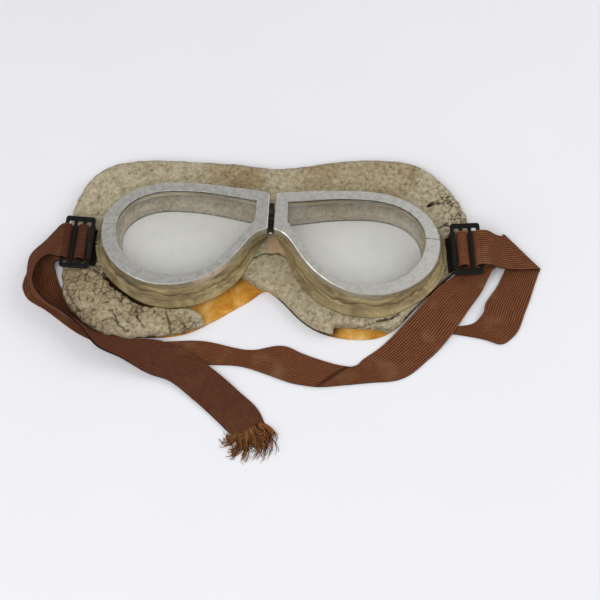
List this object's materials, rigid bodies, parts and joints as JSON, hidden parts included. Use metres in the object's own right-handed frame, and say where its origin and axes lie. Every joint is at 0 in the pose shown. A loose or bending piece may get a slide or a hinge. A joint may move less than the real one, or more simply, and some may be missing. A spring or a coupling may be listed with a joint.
{
  "type": "goggles",
  "caption": "Folding eye goggles with metal rims, sponge face pad, lens hinge over the nose and an elastic strap threaded through slides.",
  "frame": {"origin": "on the lining's face side, under the foot of the hinge pin, between the eyes", "axes": "+X towards the right temple as seen in the picture, +Y towards the brow, +Z out through the lenses"},
  "size_m": [0.2687, 0.1765, 0.0269],
  "materials": {
    "rim_aluminium": "satin, scratched and pitted",
    "lens_glass": "clear, slightly hazy",
    "gasket_rubber": "dull",
    "cup_plastic": "olive tan, slightly translucent",
    "joint_brass": "dull",
    "bright_steel": "plain",
    "dark_steel": "darkened",
    "black_enamel": "worn gloss",
    "tab_fabric": "frayed weave",
    "pad_sponge": "perished, pitted and cracked",
    "chamois": "napped",
    "strap_elastic": "ribbed elastic"
  },
  "bodies": {
    "left_side": {"left_rim": "rim_aluminium", "left_lens": "lens_glass", "left_lens_gasket": "gasket_rubber", "left_eyecup": "cup_plastic", "left_joint_block": "joint_brass", "left_joint_screw_upper": "bright_steel", "left_joint_screw_lower": "bright_steel", "left_hinge_leaf": "dark_steel", "left_leaf_rivet_upper": "bright_steel", "left_leaf_rivet_lower": "bright_steel", "left_slide_tab": "tab_fabric", "hinge_pin": "bright_steel", "face_pad": "pad_sponge", "chamois_lining": "chamois", "head_strap": "strap_elastic"},
    "right_side": {"right_rim": "rim_aluminium", "right_lens": "lens_glass", "right_lens_gasket": "gasket_rubber", "right_eyecup": "cup_plastic", "right_joint_block": "joint_brass", "right_joint_screw_upper": "bright_steel", "right_joint_screw_lower": "bright_steel", "right_hinge_leaf": "dark_steel", "right_leaf_rivet_upper": "bright_steel", "right_leaf_rivet_lower": "bright_steel", "right_slide_tab": "tab_fabric"},
    "left_slide_body": {"left_slide": "black_enamel"},
    "right_slide_body": {"right_slide": "black_enamel"}
  },
  "joints": [
    {"name": "bridge_hinge", "type": "hinge", "parent": "left_side", "child": "right_side", "pos_m": [0, 0.0119, 0.02201], "axis": [0, 1, 0], "range_deg": [-10, 25], "stiffness_Nm_per_rad": 1.5, "springref_deg": -0.54, "deforming": ["face_pad", "chamois_lining", "head_strap", "right_slide_tab"]},
    {"name": "left_slide_swivel", "type": "hinge", "parent": "left_side", "child": "left_slide_body", "pos_m": [-0.09305, -0.00384, 0.0142], "axis": [0.0349, 0.9994, 0], "range_deg": [0, 60], "deforming": ["head_strap", "left_slide_tab"]},
    {"name": "right_slide_swivel", "type": "hinge", "parent": "right_side", "child": "right_slide_body", "pos_m": [0.09459, 0.00289, 0.0142], "axis": [0.1045, -0.9945, 0], "range_deg": [0, 60], "deforming": ["head_strap", "right_slide_tab"]}
  ]
}
